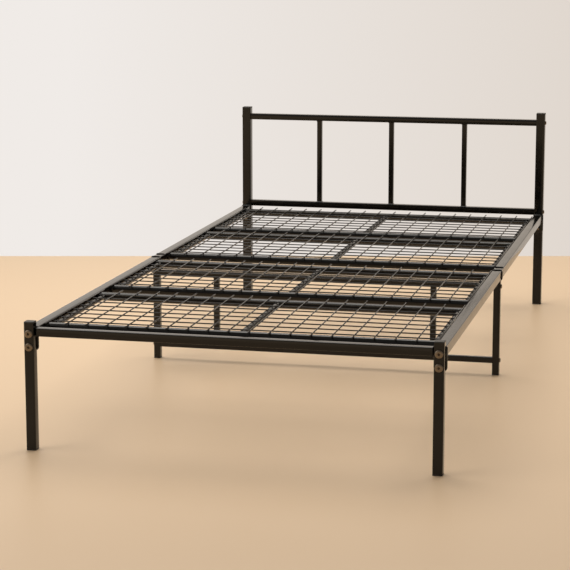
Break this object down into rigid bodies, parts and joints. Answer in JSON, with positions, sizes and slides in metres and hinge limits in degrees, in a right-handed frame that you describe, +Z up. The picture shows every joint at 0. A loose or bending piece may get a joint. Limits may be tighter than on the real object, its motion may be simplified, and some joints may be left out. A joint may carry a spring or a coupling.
{
  "type": "bed frame",
  "caption": "Knock-down single bed frame in black powder-coated steel tube, with welded wire deck panels, a middle support and a low headboard with upright spindles.",
  "frame": {"origin": "on the floor, in the middle of the frame's length and width", "axes": "+Z up, +Y towards the headboard, +X to the right seen from the foot"},
  "size_m": [1.0106, 2.128, 0.625],
  "materials": {
    "powder_coat": "semi-gloss black powder coat on steel tube",
    "black_plastic": "moulded black polyethylene",
    "bronze_hardware": "dark bronze plated steel"
  },
  "bodies": {
    "root": {"foot_leg_left": "powder_coat", "foot_leg_glide_left": "black_plastic", "foot_leg_cap_left": "black_plastic", "foot_end_plate_left": "powder_coat", "foot_bolt_upper_left": "bronze_hardware", "foot_bolt_lower_left": "bronze_hardware", "side_rail_front_left": "powder_coat", "side_rail_rear_left": "powder_coat", "joint_plate_front_left": "powder_coat", "joint_plate_rear_left": "powder_coat", "rail_coupler_left": "powder_coat", "mid_leg_left": "powder_coat", "mid_leg_glide_left": "black_plastic", "mid_beam_bolt_left": "bronze_hardware", "mid_stretcher_bolt_left": "bronze_hardware", "mid_upright_left": "powder_coat", "head_post_left": "powder_coat", "head_post_glide_left": "black_plastic", "head_post_cap_left": "black_plastic", "head_end_plate_left": "powder_coat", "head_bolt_upper_left": "bronze_hardware", "head_bolt_lower_left": "bronze_hardware", "headboard_bolt_upper_left": "bronze_hardware", "headboard_bolt_lower_left": "bronze_hardware", "foot_leg_right": "powder_coat", "foot_leg_glide_right": "black_plastic", "foot_leg_cap_right": "black_plastic", "foot_end_plate_right": "powder_coat", "foot_bolt_upper_right": "bronze_hardware", "foot_bolt_lower_right": "bronze_hardware", "side_rail_front_right": "powder_coat", "side_rail_rear_right": "powder_coat", "joint_plate_front_right": "powder_coat", "joint_plate_rear_right": "powder_coat", "rail_coupler_right": "powder_coat", "mid_leg_right": "powder_coat", "mid_leg_glide_right": "black_plastic", "mid_beam_bolt_right": "bronze_hardware", "mid_stretcher_bolt_right": "bronze_hardware", "mid_upright_right": "powder_coat", "head_post_right": "powder_coat", "head_post_glide_right": "black_plastic", "head_post_cap_right": "black_plastic", "head_end_plate_right": "powder_coat", "head_bolt_upper_right": "bronze_hardware", "head_bolt_lower_right": "bronze_hardware", "headboard_bolt_upper_right": "bronze_hardware", "headboard_bolt_lower_right": "bronze_hardware", "foot_cross_rail": "powder_coat", "mid_beam": "powder_coat", "mid_stretcher": "powder_coat", "headboard_rail_upper": "powder_coat", "headboard_rail_lower": "powder_coat", "headboard_spindle_left": "powder_coat", "headboard_spindle_centre": "powder_coat", "headboard_spindle_right": "powder_coat", "deck_panel_1": "powder_coat", "deck_panel_2": "powder_coat", "deck_panel_3": "powder_coat", "deck_panel_4": "powder_coat"}
  },
  "joints": []
}
